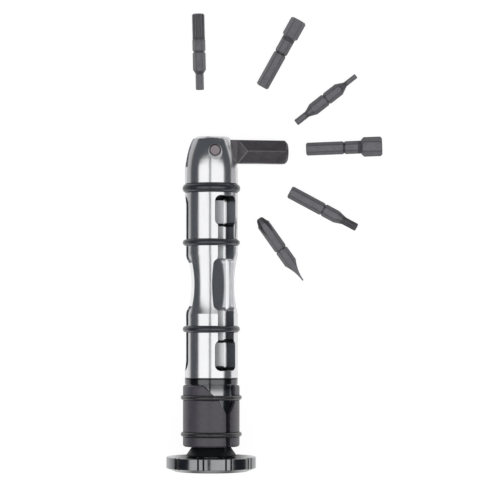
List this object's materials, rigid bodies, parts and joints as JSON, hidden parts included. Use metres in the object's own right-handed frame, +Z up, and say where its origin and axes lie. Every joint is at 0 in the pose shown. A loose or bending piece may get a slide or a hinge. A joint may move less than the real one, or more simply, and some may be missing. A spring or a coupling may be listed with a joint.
{
  "type": "bicycle multi-tool",
  "caption": "Bar-end bicycle multi-tool: grooved metal handle with rubber rings, swinging hexagon driver with bit socket, expanding plug with knob, and loose double-ended bits.",
  "frame": {"origin": "centre of the footprint of the laid-out tool and bits, on the bench surface", "axes": "+Z up from the bench, +Y along the handle from its knob to its head, +X towards the side that the driver points to"},
  "size_m": [0.0749, 0.1586, 0.031],
  "materials": {
    "polished_aluminium": "polished, turned and milled",
    "pin_steel": "riveted end, satin",
    "black_rubber": "moulded rubber",
    "black_anodised": "black anodised, glossy",
    "matte_black": "fine moulded grain",
    "dark_steel": "black oxide, satin",
    "bit_steel": "dark oxide, satin",
    "plain_steel": "bright zinc",
    "magnet_nickel": "nickel plated"
  },
  "bodies": {
    "handle": {"handle_barrel": "polished_aluminium", "pivot_pin": "pin_steel", "head_ring": "black_rubber", "upper_bit_ring": "black_rubber", "lower_bit_ring": "black_rubber", "wedge_collar": "black_anodised", "expander_sleeve": "matte_black", "upper_sleeve_ring": "black_rubber", "lower_sleeve_ring": "black_rubber"},
    "driver": {"driver": "dark_steel", "socket_magnet": "magnet_nickel"},
    "cone": {"expander_cone": "black_anodised"},
    "knob": {"knob": "black_anodised", "draw_screw": "plain_steel", "thrust_washer": "plain_steel"},
    "bit_six_lobe_and_small_hex": {"bit_six_lobe_and_small_hex": "bit_steel"},
    "bit_hex_5": {"bit_hex_5": "bit_steel"},
    "bit_slim_hex": {"bit_slim_hex": "bit_steel"},
    "bit_hex_6": {"bit_hex_6": "bit_steel"},
    "bit_hex_and_six_lobe": {"bit_hex_and_six_lobe": "bit_steel"},
    "bit_cross_and_blade": {"bit_cross_and_blade": "bit_steel"}
  },
  "joints": [
    {"name": "driver_swing", "type": "hinge", "parent": "handle", "child": "driver", "pos_m": [-0.022, 0.0314, 0.00924], "axis": [0.1904, 0.0572, 0.98], "range_deg": [0, 180]},
    {"name": "cone_draw", "type": "slide", "parent": "handle", "child": "cone", "axis": [0, 0.9983, -0.0582], "range_m": [0, 0.0014]},
    {"name": "knob_turn", "type": "hinge", "parent": "cone", "child": "knob", "pos_m": [-0.022, -0.07851, 0.01565], "axis": [0, 0.9983, -0.0582], "range_deg": [0, 720]},
    {"name": "lift_bit_six_lobe_and_small_hex", "type": "slide", "parent": "handle", "child": "bit_six_lobe_and_small_hex", "axis": [0, 0, 1], "range_m": [0, 0.03]},
    {"name": "lift_bit_hex_5", "type": "slide", "parent": "handle", "child": "bit_hex_5", "axis": [0, 0, 1], "range_m": [0, 0.03]},
    {"name": "lift_bit_slim_hex", "type": "slide", "parent": "handle", "child": "bit_slim_hex", "axis": [0, 0, 1], "range_m": [0, 0.03]},
    {"name": "lift_bit_hex_6", "type": "slide", "parent": "handle", "child": "bit_hex_6", "axis": [0, 0, 1], "range_m": [0, 0.03]},
    {"name": "lift_bit_hex_and_six_lobe", "type": "slide", "parent": "handle", "child": "bit_hex_and_six_lobe", "axis": [0, 0, 1], "range_m": [0, 0.03]},
    {"name": "lift_bit_cross_and_blade", "type": "slide", "parent": "handle", "child": "bit_cross_and_blade", "axis": [0, 0, 1], "range_m": [0, 0.03]}
  ],
  "couplings": [
    {"joint": "cone_draw", "follows": "knob_turn", "m_per_rad": 0.0001114}
  ]
}
